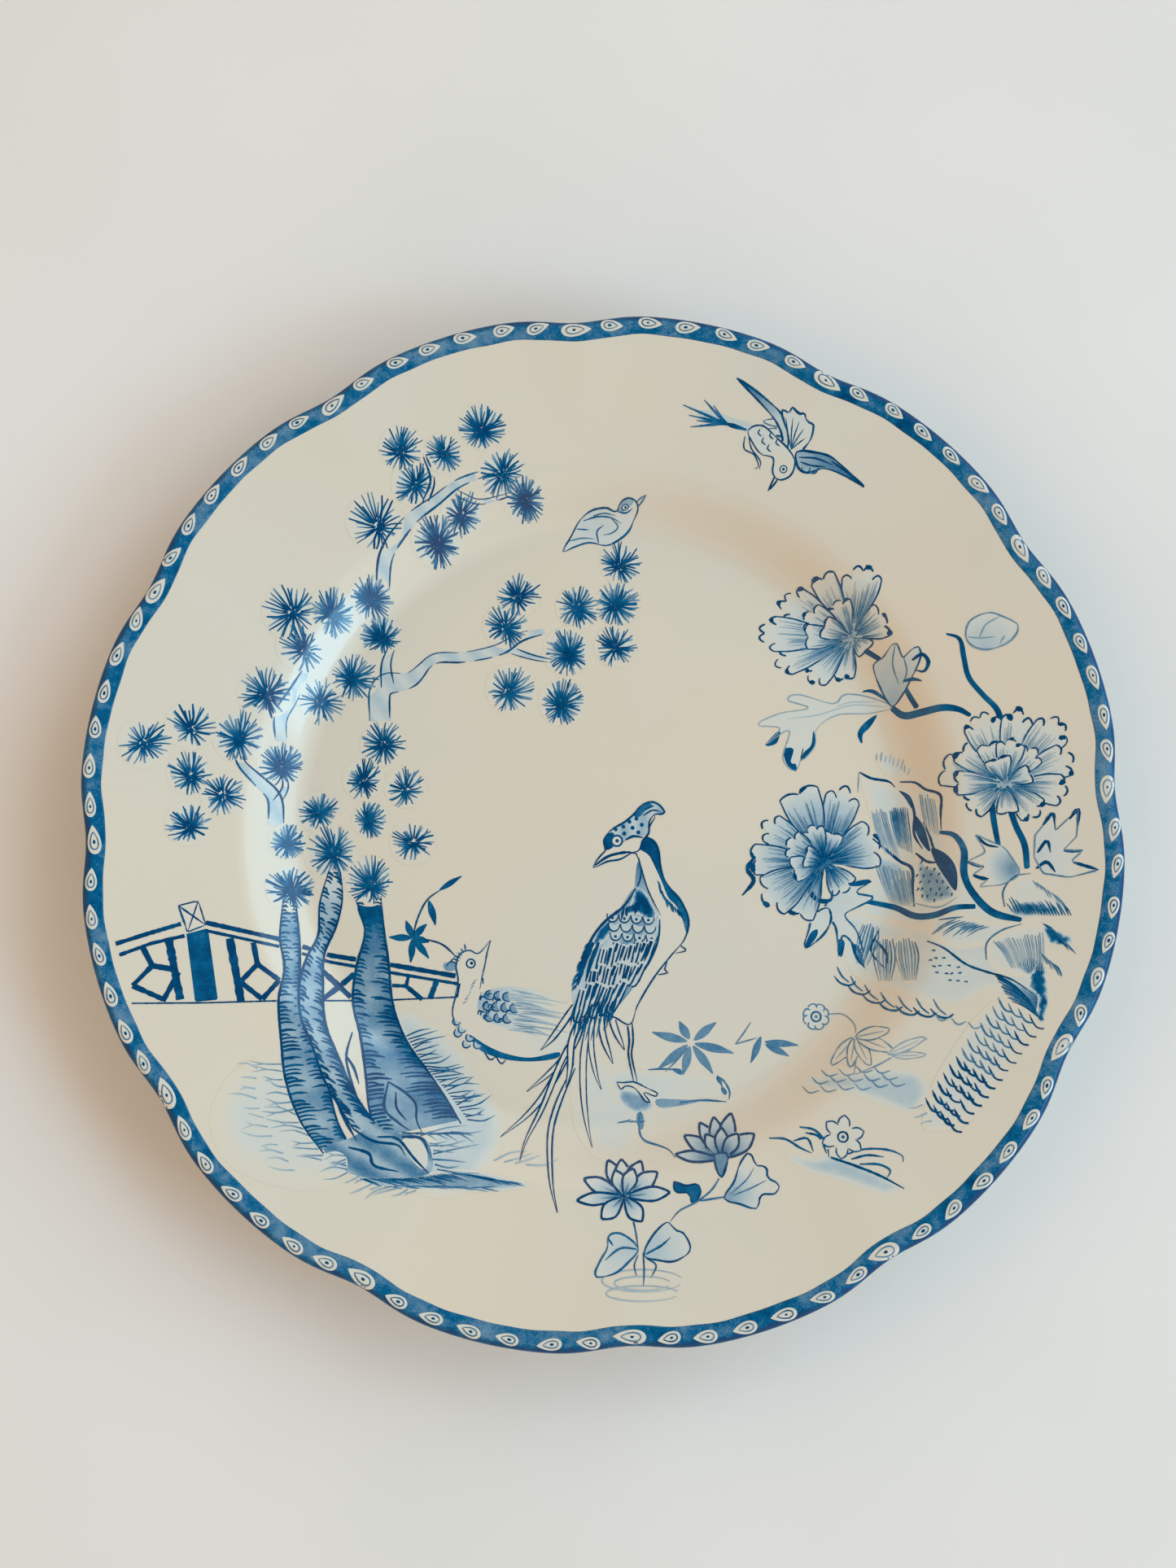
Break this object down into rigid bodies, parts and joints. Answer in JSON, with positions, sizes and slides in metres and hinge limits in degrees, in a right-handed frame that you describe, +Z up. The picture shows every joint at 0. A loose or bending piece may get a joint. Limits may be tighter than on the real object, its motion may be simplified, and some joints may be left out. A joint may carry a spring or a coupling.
{
  "type": "dinner plate",
  "caption": "Scalloped china dinner plate with a shallow well, a wide flange, a foot ring and a blue garden print under a clear glaze.",
  "frame": {"origin": "centre of the foot ring's rest plane", "axes": "+Z up along the plate's axis, out of the well; +Y towards the top of the painted garden; +X to its right"},
  "size_m": [0.2638, 0.2638, 0.0239],
  "materials": {
    "biscuit": "bare fired clay, matt",
    "glaze": "clear gloss glaze over cream clay",
    "cobalt_print": "cobalt print under gloss glaze",
    "cobalt_wash": "thin cobalt wash under gloss glaze"
  },
  "bodies": {
    "root": {"clay_body": "biscuit", "glaze_coat": "glaze", "recess_glaze": "glaze", "edge_band_print": "cobalt_print", "pine_tree_print": "cobalt_print", "garden_fence_print": "cobalt_print", "bamboo_spray_print": "cobalt_print", "hen_bird_print": "cobalt_print", "long_tailed_bird_print": "cobalt_print", "river_bank_print": "cobalt_wash", "bamboo_shoots_print": "cobalt_print", "perched_bird_print": "cobalt_print", "flying_bird_print": "cobalt_print", "tall_peony_print": "cobalt_print", "rim_peony_print": "cobalt_print", "river_peony_print": "cobalt_print", "rock_garden_print": "cobalt_print", "shore_print": "cobalt_wash", "wild_flower_print": "cobalt_print", "daisy_print": "cobalt_print", "lotus_print": "cobalt_print"}
  },
  "joints": []
}
